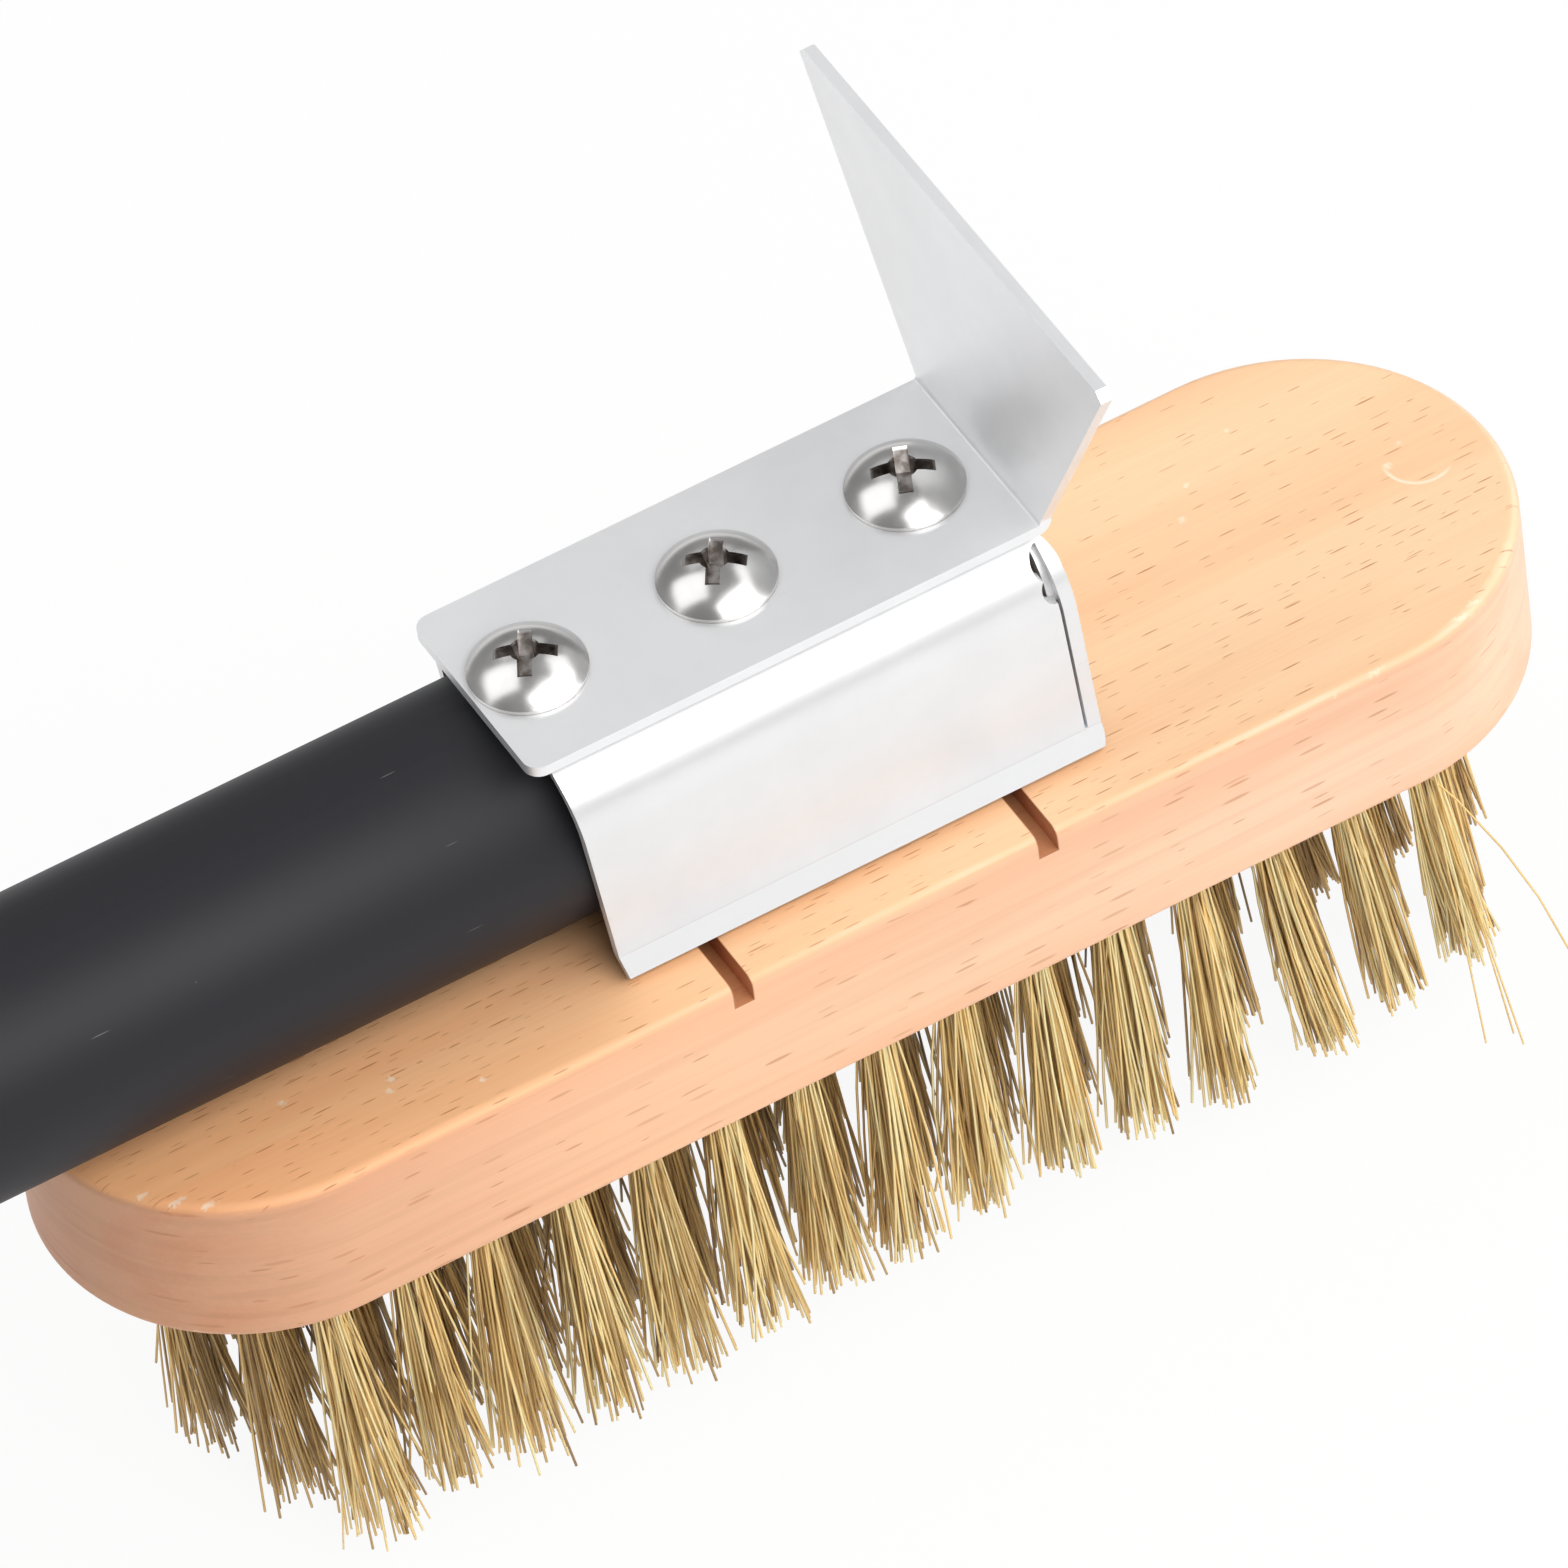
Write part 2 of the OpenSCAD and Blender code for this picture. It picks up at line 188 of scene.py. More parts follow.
def remap(tree, value, low, high):
    # 0 at low, 1 at high, eased between them
    node = tree.nodes.new("ShaderNodeMapRange")
    node.interpolation_type = "SMOOTHSTEP"
    tree.links.new(value, node.inputs["Value"])
    plug(tree, node.inputs["From Min"], low)
    plug(tree, node.inputs["From Max"], high)
    return node.outputs["Result"]


def mixColor(tree, kind, factor, a, b):
    node = tree.nodes.new("ShaderNodeMix")
    node.data_type = "RGBA"
    node.blend_type = kind
    for socket, value in ((node.inputs[0], factor), (node.inputs[6], a), (node.inputs[7], b)):
        plug(tree, socket, value)
    return node.outputs[2]


def bump(tree, base, height, strength, distance):
    node = tree.nodes.new("ShaderNodeBump")
    node.inputs["Strength"].default_value = strength
    node.inputs["Distance"].default_value = distance
    tree.links.new(height, node.inputs["Height"])
    tree.links.new(node.outputs["Normal"], base.inputs["Normal"])


strokes = {
    "length": (0.35, 1.15),  # of the given size, from the shortest stroke to the longest
    "fade": (1.1, 0.6),      # shares of a stroke's length where it ends and where it is full
    "depth": (0.45, 1.0),    # from the palest stroke to the darkest
}


def dashes(tree, cell, size, chance):
    # short strokes along X: one in a share of the cells, its half sizes given in metres
    space = objectSpace(tree, [1 / c for c in cell])
    cells = tree.nodes.new("ShaderNodeTexVoronoi")
    cells.inputs["Scale"].default_value = 1
    tree.links.new(space, cells.inputs["Vector"])
    pick = tree.nodes.new("ShaderNodeSeparateColor")
    tree.links.new(cells.outputs["Color"], pick.inputs[0])
    apart = vector2(tree, "SUBTRACT", space, cells.outputs["Position"])
    apart = vector2(tree, "MULTIPLY", apart, [c / s for c, s in zip(cell, size)])
    length = between(tree, pick.outputs[1], *strokes["length"])
    share = math2(tree, "DIVIDE", vector2(tree, "LENGTH", apart), length)
    inside = remap(tree, share, *strokes["fade"])
    chosen = math2(tree, "LESS_THAN", pick.outputs[0], chance)
    depth = between(tree, pick.outputs[2], *strokes["depth"])
    return times(tree, times(tree, inside, chosen), depth)


studio = {
    "sky": 0.28,             # strength of the even light from all round
    "floorSize": 8,
    "floorGrey": 0.9,
    "floorRoughness": 0.9,
    "floorWhite": 0.93,      # share of plain white in what the camera and mirrors see of the floor
    "distance": 1.3,         # metres from the brush to each lamp
    "lamps": {               # name: direction, width and height, brightness of the panel
        "front": ((0.50, -0.68, 0.58), (1.9, 0.70), 2.0),
        "top": ((0.15, -0.60, 0.78), (1.2, 0.8), 2.6),
        "left": ((-0.50, 0.30, 0.81), (0.95, 1.10), 1.25),
        "right": ((0.75, -0.06, 0.65), (0.85, 1.05), 1.25),
        "back": ((0.20, 0.72, 0.66), (1.1, 0.7), 0.46),
    },
}


def whiteForCamera(tree, surface, share):
    # camera, mirror and glass rays see white, mixed with the lit surface by the share
    path = tree.nodes.new("ShaderNodeLightPath")
    seen = math2(tree, "ADD", path.outputs["Is Camera Ray"], path.outputs["Is Glossy Ray"])
    seen = math2(tree, "ADD", seen, path.outputs["Is Transmission Ray"], clamp=True)
    glow = tree.nodes.new("ShaderNodeEmission")
    glow.inputs["Strength"].default_value = 1
    mix = tree.nodes.new("ShaderNodeMixShader")
    tree.links.new(times(tree, seen, share), mix.inputs[0])
    tree.links.new(surface, mix.inputs[1])
    tree.links.new(glow.outputs[0], mix.inputs[2])
    return mix.outputs[0]


def buildFloor():
    bpy.ops.mesh.primitive_plane_add(size=studio["floorSize"])
    floor = bpy.context.object
    floor.name = "studio_floor"
    mat, tree, base = shader("studio_floor")
    base.inputs["Base Color"].default_value = (*grey(studio["floorGrey"]), 1)
    base.inputs["Roughness"].default_value = studio["floorRoughness"]
    out = tree.nodes["Material Output"]
    tree.links.new(whiteForCamera(tree, base.outputs[0], studio["floorWhite"]), out.inputs["Surface"])
    floor.data.materials.append(mat)


def buildLights():
    world = bpy.data.worlds.new("studio")
    bpy.context.scene.world = world
    world.use_nodes = True
    sky = world.node_tree.nodes["Background"]
    sky.inputs["Color"].default_value = (1, 1, 1, 1)
    sky.inputs["Strength"].default_value = studio["sky"]

    for name, (side, spread, brightness) in studio["lamps"].items():
        lamp = bpy.data.lights.new("lamp_" + name, "AREA")
        lamp.shape = "RECTANGLE"
        lamp.size, lamp.size_y = spread
        lamp.energy = brightness * math.pi * spread[0] * spread[1]
        obj = bpy.data.objects.new("lamp_" + name, lamp)
        direction = Vector(side).normalized()
        obj.location = direction * studio["distance"] + Vector((0, 0, deckZ))
        obj.rotation_euler = direction.to_track_quat("Z", "Y").to_euler()
        bpy.context.collection.objects.link(obj)


buildFloor()
buildLights()
print("studio built")

beech = {
    "pale": (0.96, 0.64, 0.385),
    "deep": (0.94, 0.555, 0.315),
    "pore": (0.50, 0.19, 0.07),
    "paleWearAndHighlight": (0.97, 0.84, 0.66),
    "roughness": (0.41, 0.52),
    # tints: by x in mm (painted shade by the handle), on the sides, on their growth lines, on them by the
    # handle (painted shade), in the saw cuts (painted shade)
    "handleShadeTint": ((-85, (1.0, 0.77, 0.61)), (-15, (1.0, 0.91, 0.83)), (50, (1.0, 1.0, 1.0))),
    "pinker": (1.0, 0.99, 1.12),
    "growthLine": (0.86, 0.81, 0.78),
    "handleSideShade": (0.76, 0.76, 0.78),
    "sawCutShade": (0.60, 0.44, 0.35),
    "ends": (-90 * mm, 90 * mm),             # the x between which the painted handle shade, redder and darker, is given
    "handleEnd": (-20 * mm, -85 * mm),       # x where the painted side shade starts and where it is full
    # noise patterns: scale per metre along X, Y and Z, detail, roughness, distortion
    "bands": ((7, 95, 95), 3, 0.55, 0.4),
    "fibres": ((60, 2300, 2300), 3, 0.6),
    "growth": ((11, 40, 420), 3, 0.5, 0.8),
    "patches": ((30, 70, 70), 2),
    "rimBreakup": ((70, 70, 70), 3),
    "ragged": ((2600, 2600, 2600), 2),
    "fibreShade": (0.88, 1.03),
    "shares": {                              # how strongly each mark shows
        "fibre": 0.45, "growth": 0.5, "topPore": 0.85, "sidePore": 0.6, "ring": 0.7, "fleck": 0.6,
    },
    "topPores": ((4.2 * mm, 1.25 * mm, 60 * mm), (1.25 * mm, 0.10 * mm, 600 * mm)), # cell, half size
    "topShare": (0.28, 1.0),                 # share of cells with a pore, in the open and the dense patches
    "dense": (22 * mm, -18 * mm),            # y where the dense patches start and where they are full
    "sidePores": ((8 * mm, 60 * mm, 1.8 * mm), (1.7 * mm, 600 * mm, 0.23 * mm), 0.45), # and their share
    "sawCuts": {                             # edge: distances from a cut's middle, outside and inside
        "middle": 1.5 * mm, "spacing": 35.6 * mm, "edge": (1.25 * mm, 1.12 * mm), "depth": 2.9 * mm,
    },
    "rimHighlightStrength": (0.05, 0.30),
    "rimHighlightReach": (-45 * mm, 20 * mm),           # x where the painted rim highlight starts and where it is full
    "ring": {                                # the round dent's pale ring, a painted highlight, open towards this many degrees from X
        "at": (77.3 * mm, 0.1 * mm), "radius": 3.7 * mm, "width": 0.30 * mm, "open": 55,
    },
    "spots": [                               # pale marks on the top: x, y, radius in mm
        (52.9, 6.4, 0.50), (55.7, 10.2, 0.45), (76.7, 2.9, 0.40), (63.1, 14.6, 0.40),
        (74.1, 0.7, 0.65), (-51.8, -14.2, 0.55), (-52.6, -15.6, 0.45), (-44.2, -19.6, 0.45),
        (-62.4, -10.8, 0.55),
    ],
    "chips": [                               # chips on the rim: x, y, length in mm
        (69.6, -21.7, 1.5), (71.6, -20.7, 0.9), (58.4, -23.2, 1.0), (53.4, -23.4, 0.6),
        (-77.6, -16.3, 1.0), (-75.2, -18.5, 0.9), (-80.2, -13.6, 0.6),
    ],
    "bump": (0.3, 0.1 * mm),
}


def woodTone(tree, place, side, fibres):
    # broad bands along the length, then a painted shade by the handle, redder and darker, then fine fibres
    shares = beech["shares"]
    color = ramp(tree, noise(tree, *beech["bands"]), (0.32, beech["deep"]), (0.55, beech["pale"]))
    start, stop = beech["ends"]
    span = stop - start
    along = math2(tree, "MULTIPLY_ADD", place["X"], 1 / span, -start / span)
    # painted shade: redder and darker towards the handle, where the tube shades the wood
    handleShade = ramp(tree, along, *(((x * mm - start) / span, tone) for x, tone in beech["handleShadeTint"]))
    color = mixColor(tree, "MULTIPLY", 1, color, handleShade)
    dark, light = (grey(v) for v in beech["fibreShade"])
    color = mixColor(tree, "MULTIPLY", shares["fibre"], color, ramp(tree, fibres, (0.25, dark), (0.7, light)))
    # the sides are pinker and show growth lines, and are darker by the handle, a painted shade
    lines = ramp(tree, noise(tree, *beech["growth"]), (0.38, beech["growthLine"]), (0.55, grey(1)))
    color = mixColor(tree, "MULTIPLY", times(tree, side, shares["growth"]), color, lines)
    color = mixColor(tree, "MULTIPLY", side, color, beech["pinker"])
    # painted shade: the sides darken towards the handle's end, where less light reaches them
    sideShade = times(tree, side, remap(tree, place["X"], *beech["handleEnd"]))
    return mixColor(tree, "MULTIPLY", sideShade, color, beech["handleSideShade"])


def inSawCuts(tree, place):
    cuts = beech["sawCuts"]
    fromMiddle = math2(tree, "ABSOLUTE", minus(tree, place["X"], cuts["middle"]))
    fromCut = math2(tree, "ABSOLUTE", minus(tree, fromMiddle, cuts["spacing"] / 2))
    above = math2(tree, "GREATER_THAN", place["Z"], deckZ - cuts["depth"])
    return times(tree, remap(tree, fromCut, *cuts["edge"]), above)


def woodPores(tree, place, side):
    # fine ones on the top, denser towards its near side, and softer ones on the sides
    patches = remap(tree, noise(tree, *beech["patches"]), 0.3, 0.65)
    crowd = times(tree, patches, remap(tree, place["Y"], *beech["dense"]))
    fine = dashes(tree, *beech["topPores"], between(tree, crowd, *beech["topShare"]))
    fine = times(tree, fine, minus(tree, 1, side))
    return fine, times(tree, dashes(tree, *beech["sidePores"]), side)


def rimHighlight(tree, place, upward):
    # a painted highlight along the rounded top edge, patchy, fading out towards the handle
    rim = times(tree, remap(tree, upward, 0.55, 0.75), remap(tree, upward, 0.97, 0.88))
    rimBreakup = remap(tree, noise(tree, *beech["rimBreakup"]), 0.35, 0.6)
    rim = times(tree, rim, between(tree, rimBreakup, *beech["rimHighlightStrength"]))
    return times(tree, rim, remap(tree, place["X"], *beech["rimHighlightReach"]))


def dentRingHighlight(tree):
    # a painted highlight: a thin pale ring round the dent, open on one side
    ring = beech["ring"]
    radius = ring["radius"]
    centre = (*ring["at"], deckZ)
    width = ring["width"] / radius
    apart = minus(tree, away(tree, centre, [radius] * 3), 1)
    line = remap(tree, math2(tree, "ABSOLUTE", apart), width, width / 4)
    turn = math.radians(ring["open"])
    offset = objectSpace(tree, [1 / radius] * 3, centre)
    across = vector2(tree, "DOT_PRODUCT", offset, (math.cos(turn), math.sin(turn), 0))
    return times(tree, line, remap(tree, across, -0.2, -0.75))


def woodMarks(tree):
    # the round dent's painted highlight ring, small pale spots and chips, as one mask
    shares = beech["shares"]
    marks = times(tree, dentRingHighlight(tree), shares["ring"])
    ragged = between(tree, noise(tree, *beech["ragged"]), -1, 1)
    flecks = [(x, y, [size * mm] * 3, 0.2) for x, y, size in beech["spots"]]
    flecks += [(x, y, (1.3 * size * mm, 0.4 * mm, 0.7 * mm), 0.3) for x, y, size in beech["chips"]]
    for x, y, size, full in flecks:
        near = math2(tree, "ADD", away(tree, (x * mm, y * mm, deckZ), size), ragged)
        fleck = times(tree, remap(tree, near, 1.1, full), shares["fleck"])
        marks = math2(tree, "MAXIMUM", marks, fleck)
    return marks


def beechMaterial():
    mat, tree, base = shader("beech")
    coords = tree.nodes.new("ShaderNodeTexCoord")
    place = split(tree, coords.outputs["Object"])
    upward = math2(tree, "ABSOLUTE", split(tree, coords.outputs["Normal"])["Z"])
    side = remap(tree, upward, 0.75, 0.25)
    fibres = noise(tree, *beech["fibres"])
    shares = beech["shares"]

    color = woodTone(tree, place, side, fibres)
    # painted shade: the colour is darkened inside the saw cuts
    color = mixColor(tree, "MULTIPLY", inSawCuts(tree, place), color, beech["sawCutShade"])
    fine, soft = woodPores(tree, place, side)
    color = mixColor(tree, "MIX", times(tree, fine, shares["topPore"]), color, beech["pore"])
    color = mixColor(tree, "MIX", times(tree, soft, shares["sidePore"]), color, beech["pore"])
    marks = woodMarks(tree)
    # pale wear marks, together with the painted highlights of the rim and of the dent's ring
    paleWearAndHighlight = math2(tree, "MAXIMUM", marks, rimHighlight(tree, place, upward))
    tree.links.new(mixColor(tree, "MIX", paleWearAndHighlight, color, beech["paleWearAndHighlight"]), base.inputs["Base Color"])

    satin, dull = (grey(v) for v in beech["roughness"])
    tree.links.new(ramp(tree, fibres, (0.2, satin), (0.8, dull)), base.inputs["Roughness"])
    dips = math2(tree, "MULTIPLY_ADD", marks, 0.8, times(tree, fine, 0.25))
    bump(tree, base, minus(tree, times(tree, fibres, 0.4), dips), *beech["bump"])
    return mat


coat = {
    "color": (0.0160, 0.0160, 0.0205),
    "speck": (0.36, 0.35, 0.34),
    "roughness": (0.50, 0.57),
    "sheen": 0.33,                # specular level
    "broad": ((18, 60, 60), 2),   # noise of the roughness
    "grain": ((1400, 1400, 1400), 2),
    "bump": (0.12, 0.05 * mm),
    "specks": ([2.4 * mm] * 3, [0.14 * mm] * 3, 0.10),
    "scuffs": ((14 * mm, 1.4 * mm, 1.4 * mm), (1.3 * mm, 0.07 * mm, 0.07 * mm), 0.5),
    "scuffShare": 0.35,
}


def coatMaterial():
    mat, tree, base = shader("black_coat")
    # tiny pale specks where the coat is nicked, and a few fine scuffs along the tube
    scuffs = times(tree, dashes(tree, *coat["scuffs"]), coat["scuffShare"])
    marks = math2(tree, "MAXIMUM", dashes(tree, *coat["specks"]), scuffs)
    tree.links.new(mixColor(tree, "MIX", marks, coat["color"], coat["speck"]), base.inputs["Base Color"])
    base.inputs["Specular IOR Level"].default_value = coat["sheen"]
    satin, dull = (grey(v) for v in coat["roughness"])
    sheen = ramp(tree, noise(tree, *coat["broad"]), (0.3, satin), (0.7, dull))
    tree.links.new(sheen, base.inputs["Roughness"])
    bump(tree, base, noise(tree, *coat["grain"]), *coat["bump"])
    return mat


sheets = {
    "bracket": {
        "color": (0.84, 0.84, 0.845), "metal": 0.5, "roughness": 0.32, "grain": (50, 900, 900),
            "low": ((0.93, 0.98, 1.03), 12 * mm),     # cooler painted tone near the wood, from this height down, that holds back the wood's warm reflection
        "foot": ((0.66, 0.67, 0.68), 2.85 * mm),  # painted shade: a darker tone of the turned-out foot, up to its bend, that holds back the lamp's glare on it
        "lowRoughness": 0.5,
    },
    "scraper": {"color": (0.93, 0.935, 0.945), "metal": 0.7, "roughness": 0.42, "grain": (700, 60, 700)},
    "staple": {"color": (0.60, 0.60, 0.60), "metal": 1.0, "roughness": 0.36, "grain": (400, 400, 400)},
}
sheetWear = {
    "blots": ((90, 90, 90), 4, 0.6),
    "blotShade": 0.95,
    "satin": (0.9, 1.12),       # spread of the roughness
    "scratches": ((9 * mm, 2.2 * mm, 2.2 * mm), (1.1 * mm, 0.05 * mm, 0.05 * mm), 0.5),
    "scratchTone": 0.7,
    "scratchShare": 0.5,
    "bump": (0.08, 0.04 * mm),
}


def sheetMaterial(name):
    kind = sheets[name]
    mat, tree, base = shader(name + "_sheet")
    base.inputs["Metallic"].default_value = kind["metal"]
    lines = noise(tree, kind["grain"], 4, 0.6)
    blotted = tuple(c * sheetWear["blotShade"] for c in kind["color"])
    color = ramp(tree, noise(tree, *sheetWear["blots"]), (0.3, blotted), (0.7, kind["color"]))
    scratches = dashes(tree, *sheetWear["scratches"])
    scratched = times(tree, scratches, sheetWear["scratchShare"])
    color = mixColor(tree, "MULTIPLY", scratched, color, grey(sheetWear["scratchTone"]))
    smooth, dull = (grey(kind["roughness"] * v) for v in sheetWear["satin"])
    satin = ramp(tree, lines, (0.2, smooth), (0.8, dull))
    if "foot" in kind:
        height = heightOver(tree, deckZ)
        (reflectionCancelTint, top), (footTone, bend) = kind["low"], kind["foot"]
        # painted light: near the wood the sheet is cooled in tone and made less metallic, so it shows less of
        # the wood's reflection
        low = remap(tree, height, top, bend)
        color = mixColor(tree, "MULTIPLY", low, color, reflectionCancelTint)
        # painted shade on the foot, where the front lamp's highlight would burn it white
        foot = remap(tree, height, bend + 0.3 * mm, bend - 0.1 * mm)
        color = mixColor(tree, "MIX", foot, color, footTone)
        satin = mixColor(tree, "MIX", low, satin, grey(kind["lowRoughness"]))
        tree.links.new(times(tree, minus(tree, 1, low), kind["metal"]), base.inputs["Metallic"])
    tree.links.new(color, base.inputs["Base Color"])
    tree.links.new(satin, base.inputs["Roughness"])
    bump(tree, base, minus(tree, lines, scratches), *sheetWear["bump"])
    return mat


screws = {
    "names": ("screw_rear", "screw_middle", "screw_front"),
    "steel": ((0.66, 0.65, 0.64), (0.76, 0.75, 0.74)),
    "roughness": (0.20, 0.27),
    "recess": ((0.17, 0.145, 0.13), (0.44, 0.41, 0.39)), # sooty and rubbed tones of the cross recess
    "recessRoughness": 0.32,
    "smear": ((260, 260, 260), 3),
    "soot": ((900, 900, 900), 2),
    "dome": 2.7 * mm,
    "rim": 0.5 * mm,
    "recessEdge": (0.992, 0.965), # shares of the dome's ball where the recess starts and where it is full
}


def screwMaterial(name):
    mat, tree, base = shader("polished_" + name)
    base.inputs["Metallic"].default_value = 1
    low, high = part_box(name)
    half = (high.x - low.x) / 2
    ball = (half ** 2 + screws["dome"] ** 2) / (2 * screws["dome"])
    centre = ((low.x + high.x) / 2, (low.y + high.y) / 2, high.z - ball)
    # whatever lies inside the dome's ball and above the rim belongs to the recess
    inside = remap(tree, away(tree, centre, (ball, ball, ball)), *screws["recessEdge"])
    height = heightOver(tree, high.z - screws["dome"] - screws["rim"])
    recess = times(tree, inside, math2(tree, "GREATER_THAN", height, 0.1 * mm))
    smear = noise(tree, *screws["smear"])
    color = ramp(tree, smear, *zip((0.3, 0.7), screws["steel"]))
    soot = ramp(tree, noise(tree, *screws["soot"]), *zip((0.35, 0.65), screws["recess"]))
    tree.links.new(mixColor(tree, "MIX", recess, color, soot), base.inputs["Base Color"])
    shine = ramp(tree, smear, *zip((0.3, 0.7), (grey(v) for v in screws["roughness"])))
    dull = grey(screws["recessRoughness"])
    tree.links.new(mixColor(tree, "MIX", recess, shine, dull), base.inputs["Roughness"])
    return mat


brass = {
    "dark": (0.36, 0.22, 0.09),
    "gold": (1.0, 0.71, 0.29),
    "light": (1.0, 0.88, 0.49),
    "metal": 0.28,
    "roughness": 0.40,
    "stains": ((300, 300, 60), 3),
    "stainTone": 0.82,
    "stainShare": 0.6,
}


def brassMaterial():
    mat, tree, base = shader("brass_wire")
    base.inputs["Metallic"].default_value = brass["metal"]
    base.inputs["Roughness"].default_value = brass["roughness"]
    tone = tree.nodes.new("ShaderNodeAttribute")
    tone.attribute_name = "tone"
    shade = ramp(tree, tone.outputs["Fac"], (0.0, brass["dark"]), (0.4, brass["gold"]), (1.0, brass["light"]))
    stains = ramp(tree, noise(tree, *brass["stains"]), (0.35, grey(brass["stainTone"])), (0.6, grey(1)))
    color = mixColor(tree, "MULTIPLY", brass["stainShare"], shade, stains)
    tree.links.new(color, base.inputs["Base Color"])
    return mat


plugPlastic = {
    "tone": (0.015, 0.020),
    "roughness": (0.50, 0.62),
    "grain": ((2200, 2200, 2200), 2),
    "bump": (0.3, 0.08 * mm),
}


def plugMaterial():
    mat, tree, base = shader("plug_plastic")
    grain = noise(tree, *plugPlastic["grain"])
    for key, socket in (("tone", "Base Color"), ("roughness", "Roughness")):
        low, high = (grey(v) for v in plugPlastic[key])
        tree.links.new(ramp(tree, grain, (0.3, low), (0.7, high)), base.inputs[socket])
    bump(tree, base, grain, *plugPlastic["bump"])
    return mat


finishes = {
    "wood_block": beechMaterial(),
    "handle_tube": coatMaterial(),
    "handle_plug": plugMaterial(),
    "bracket": sheetMaterial("bracket"),
    "scraper": sheetMaterial("scraper"),
    "tuft_staples": sheetMaterial("staple"),
}
for name in screws["names"]:
    finishes[name] = screwMaterial(name)
for name, mat in finishes.items():
    data = nodes[name].data
    for i in range(len(data.materials)):
        data.materials[i] = mat
    if not data.materials:
        data.materials.append(mat)
print("CAD nodes finished")

wires = {
    "perTuft": 85,
    "radius": 0.15 * mm,
    "points": 6,                      # along each wire
    "rootRadius": 1.65 * mm,          # of a whole tuft where it leaves the wood
    "inWood": 3 * mm,                 # how far up into the wood a wire starts
    # pairs that change along the brush: the value at the handle's end and at the other
    "tipRadius": (4.7 * mm, 2.5 * mm),
    "scatter": (1.2 * mm, 0.5 * mm),  # scatter of the tips
    "wander": (0.50, 0.20),           # share of wires that cross their tuft
    "brightness": (0.8, 1.35),
    "swing": 2.2,                     # how far a wire that crosses its tuft may turn, in radians
    "spread": (0.75, 1.1),            # how far out a tip may lie, against its root
    "fan": 0.8,                       # power, below 1 the tips lie nearer the tuft's rim
    "straight": 1.15,                 # power, above 1 a wire leans out more towards its tip
    "bow": 0.4 * mm,
    "askew": 0.5 * mm,                # scatter of the whole tuft's lean
    "lift": {                         # by row, how far above the plane of the tips the longest wires end
        1: (2.6 * mm, 4.8 * mm), 2: (0.6 * mm, 2.6 * mm), 3: (0.1 * mm, 1.8 * mm),
        4: (0.6 * mm, 2.6 * mm), 5: (2.6 * mm, 4.8 * mm),
    },
    "ragged": 0.78 * mm,              # scatter of a wire's length
    "domed": 0.5 * mm,                # how much shorter the outermost wires are
    "outerRows": (1, 5),
    "innerRowShade": 0.42,                    # painted shade: darker tone of the inner rows, in the block's shadow, against the outer ones
    # at x: how far the tips lean along the brush, and outward in the two outer rows, all in mm
    "leans": (
        (-85, 2.2, 3.0), (30, -0.2, 2.2), (37, 0.6, 2.4), (46, 3.2, 3.6), (57, 3.5, 0.4), (85, 3.6, 0.2),
    ),
    "seed": 7,
    "strays": [                       # row, then root, middle and tip of a bent wire in mm
        (1, (64.6, -18.6, 36.5), (64.8, -22.5, 19.0), (63.8, -28.2, 0.5)),
        (1, (65.4, -18.2, 36.5), (66.8, -22.0, 18.0), (66.9, -28.6, 0.4)),
        (1, (65.6, -17.6, 36.5), (66.4, -23.0, 17.0), (67.0, -30.4, 0.3)),
        (1, (62.9, -18.9, 36.5), (72.6, -22.3, 20.5), (74.5, -28.3, 8.0)),
        (1, (-64.6, -18.4, 36.5), (-65.2, -19.5, 18.0), (-68.5, -22.0, 2.0)),
        (5, (64.8, 18.7, 36.5), (66.0, 20.5, 20.0), (69.0, 25.0, 3.0)),
    ],
    "strayThickness": 0.75,
    "strayTone": 0.4,
}
tufts = {
    "inHole": 6 * mm,  # only points this far above the block's underside are looked at
    "gap": 2.5 * mm,   # points further apart than this along X belong to two tufts
}


def tuftCentres(name):
    # a row's tufts are the loose parts of one node, told apart by the gaps along X
    roots = [v.co for v in nodes[name].data.vertices if v.co.z > blockLow.z + tufts["inHole"]]
    xs = sorted({round(co.x, 5) for co in roots})
    groups = [[xs[0]]]
    for x in xs[1:]:
        if x - groups[-1][-1] > tufts["gap"]:
            groups.append([])
        groups[-1].append(x)
    ys = {round(co.y, 5) for co in roots}
    middle = (min(ys) + max(ys)) / 2
    return [Vector(((g[0] + g[-1]) / 2, middle, 0)) for g in groups]


def leanAt(x):
    # the lean of the tips at a place along the brush, between the chosen ones
    for (x1, *lean1), (x2, *lean2) in zip(wires["leans"], wires["leans"][1:]):
        if x <= x2 * mm:
            share = (x / mm - x1) / (x2 - x1)
            return [(a + (b - a) * share) * mm for a, b in zip(lean1, lean2)]
    return [a * mm for a in wires["leans"][-1][1:]]


def wireSpline(curve, points, thick=1):
    spline = curve.splines.new("POLY")
    spline.points.add(len(points) - 1)
    for slot, place in zip(spline.points, points):
        slot.co = (place.x, place.y, max(place.z, wires["radius"]), 1)
        slot.radius = thick


def wirePoints(root, tip, bow):
    # from inside the wood to the tip, straight at first and bowed a little below
    points = []
    top = blockLow.z + wires["inWood"]
    for i in range(wires["points"]):
        z = top + (tip.z - top) * i / (wires["points"] - 1)
        fall = max(0, (blockLow.z - z) / (blockLow.z - tip.z))
        flat = root.lerp(tip, fall ** wires["straight"]) + bow * math.sin(math.pi * fall)
        points.append(Vector((flat.x, flat.y, z)))
    return points


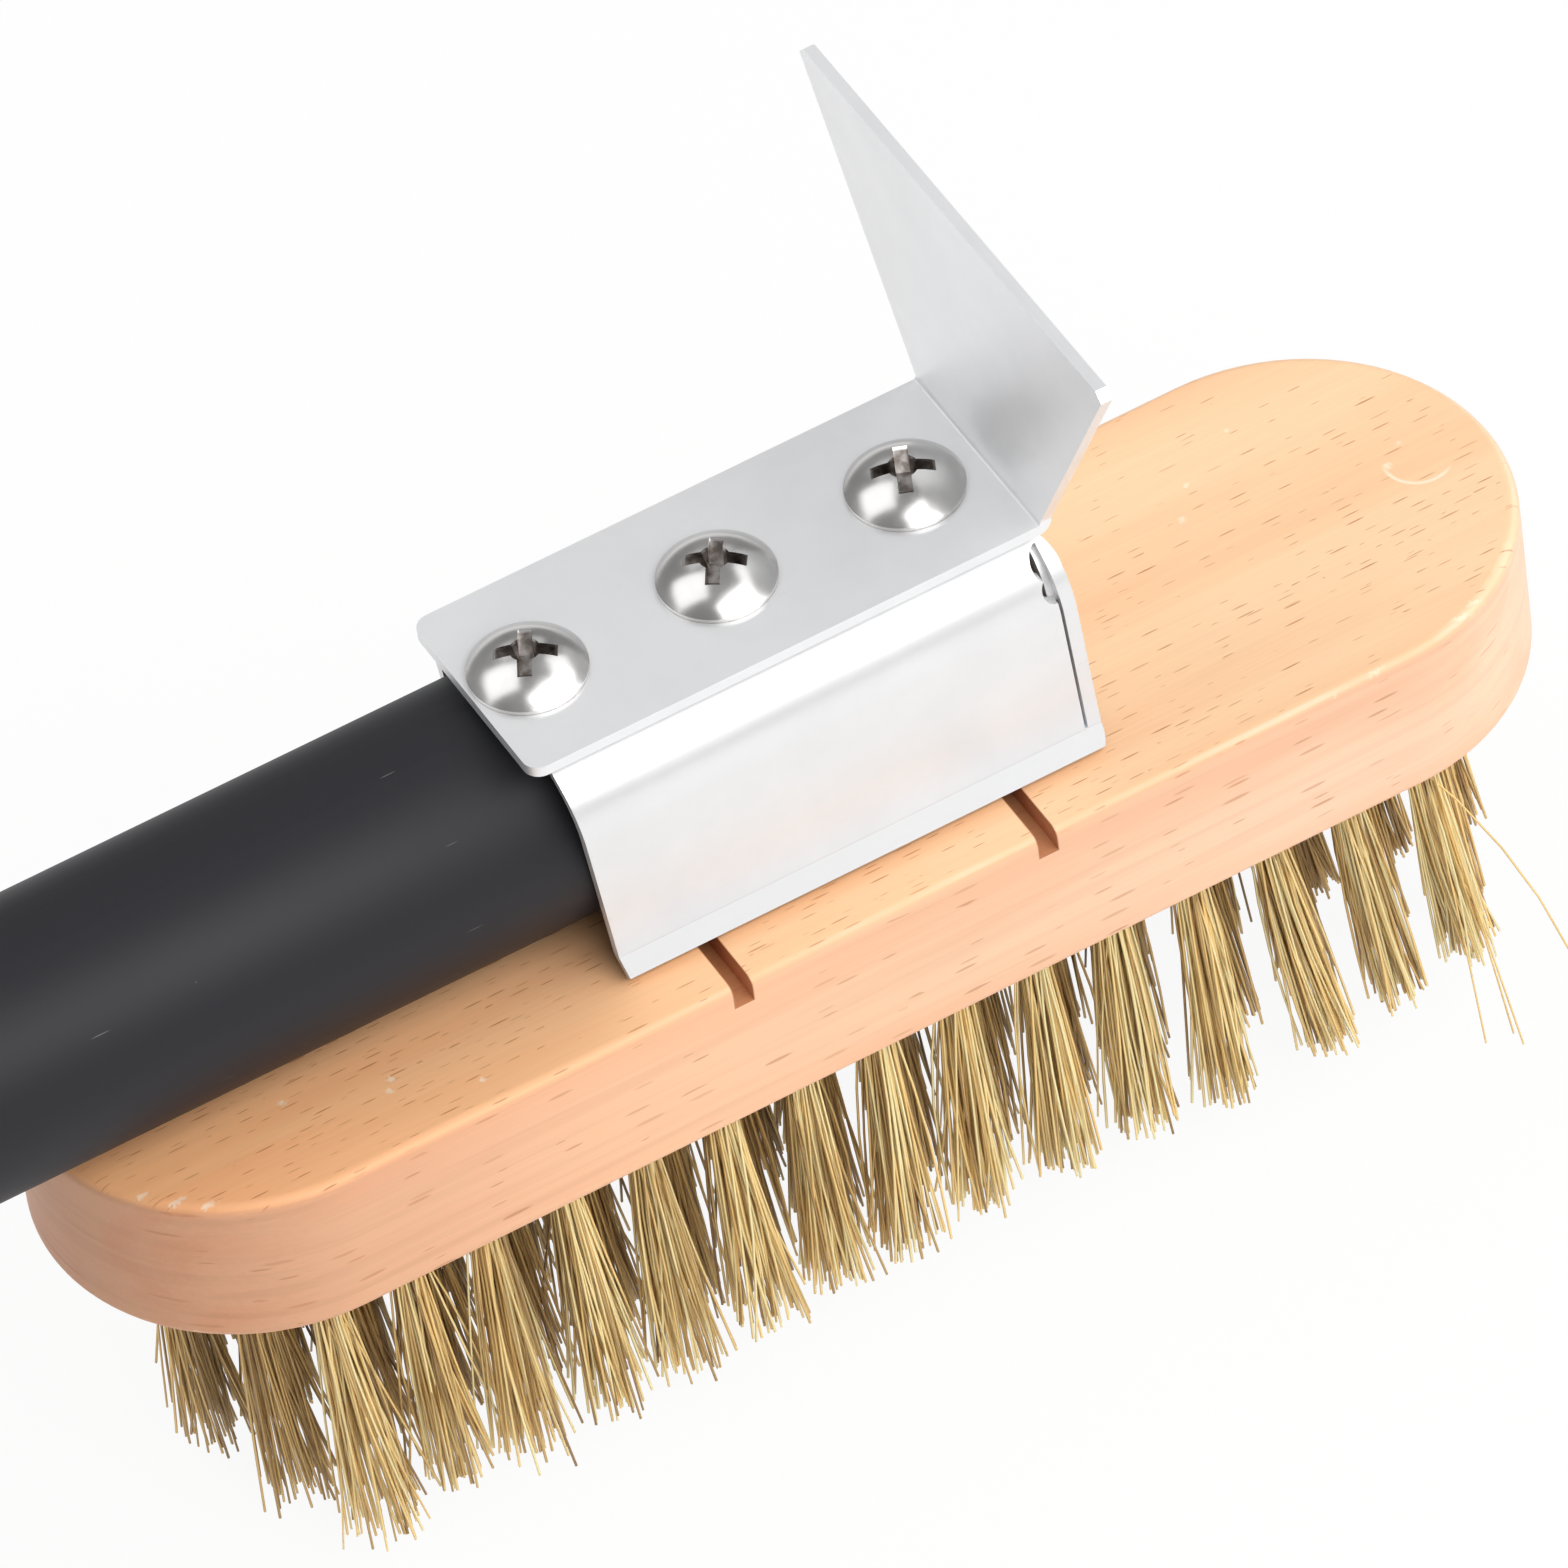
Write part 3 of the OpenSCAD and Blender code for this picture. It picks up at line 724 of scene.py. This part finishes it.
def strayPoints(root, middle, tip):
    points = [root + Vector((0, 0, wires["inWood"]))]
    for i in range(wires["points"] - 1):
        t = i / (wires["points"] - 2)
        points.append(root.lerp(middle, t).lerp(middle.lerp(tip, t), t))
    return points


def jitter(rng, spread):
    return Vector((rng.gauss(0, spread), rng.gauss(0, spread), 0))


def turned(angle):
    return Vector((math.cos(angle), math.sin(angle), 0))


def tuftWires(curve, rng, index, centre):
    # the wires of one tuft, and the tone of each
    share = (centre.x - blockLow.x) / (blockHigh.x - blockLow.x)
    pairs = (wires[k] for k in ("tipRadius", "wander", "scatter", "brightness"))
    tipRadius, wander, scatter, bright = (a + (b - a) * share for a, b in pairs)
    # painted shade: the inner rows are darkened as if in the block's shadow
    if index not in wires["outerRows"]:
        bright *= wires["innerRowShade"]
    drift, splay = leanAt(centre.x)
    lean = Vector((drift, splay * (index - 3) / 2, 0)) + jitter(rng, wires["askew"])
    lift = rng.uniform(*wires["lift"][index])
    tones = []
    for k in range(wires["perTuft"]):
        angle = rng.uniform(0, 2 * math.pi)
        reach = math.sqrt(rng.random())
        root = centre + turned(angle) * reach * wires["rootRadius"]
        if rng.random() < wander:
            angle += rng.uniform(-wires["swing"], wires["swing"])
        spread = tipRadius * reach ** wires["fan"] * rng.uniform(*wires["spread"])
        tip = centre + lean + turned(angle) * spread + jitter(rng, scatter)
        tip.z = lift + abs(rng.gauss(0, wires["ragged"])) + reach * wires["domed"]
        wireSpline(curve, wirePoints(root, tip, jitter(rng, wires["bow"])))
        tones.append(bright * rng.random())
    return tones


def meshOf(curve, name):
    holder = bpy.data.objects.new("holder", curve)
    bpy.context.collection.objects.link(holder)
    mesh = bpy.data.meshes.new_from_object(holder)
    bpy.data.objects.remove(holder)
    piece = bpy.data.objects.new(name, mesh)
    bpy.context.collection.objects.link(piece)
    return piece, mesh


def tuftRow(index):
    node = "tuft_row_%d" % index
    rng = random.Random(wires["seed"] * 100 + index)
    curve = bpy.data.curves.new("wires", "CURVE")
    curve.dimensions = "3D"
    curve.bevel_depth = wires["radius"]
    curve.bevel_resolution = 0
    curve.use_fill_caps = True
    tones = []
    for centre in tuftCentres(node):
        tones += tuftWires(curve, rng, index, centre)
    for row, *bend in wires["strays"]:
        if row == index:
            points = strayPoints(*(Vector(place) * mm for place in bend))
            wireSpline(curve, points, wires["strayThickness"])
            tones.append(wires["strayTone"])
    piece, mesh = meshOf(curve, "wires_row_%d" % index)
    # one tone for each wire, as the wires follow one another in the mesh
    each = len(mesh.vertices) // len(tones)
    last = len(tones) - 1
    values = [tones[min(i // each, last)] for i in range(len(mesh.vertices))]
    mesh.attributes.new("tone", "FLOAT", "POINT").data.foreach_set("value", values)
    mesh.materials.clear()
    mesh.materials.append(brassWire)
    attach(piece, "root")
    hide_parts(node)
    print(piece.name, len(tones), "wires,", len(mesh.vertices), "points")


brassWire = brassMaterial()
for index in range(1, 6):
    tuftRow(index)
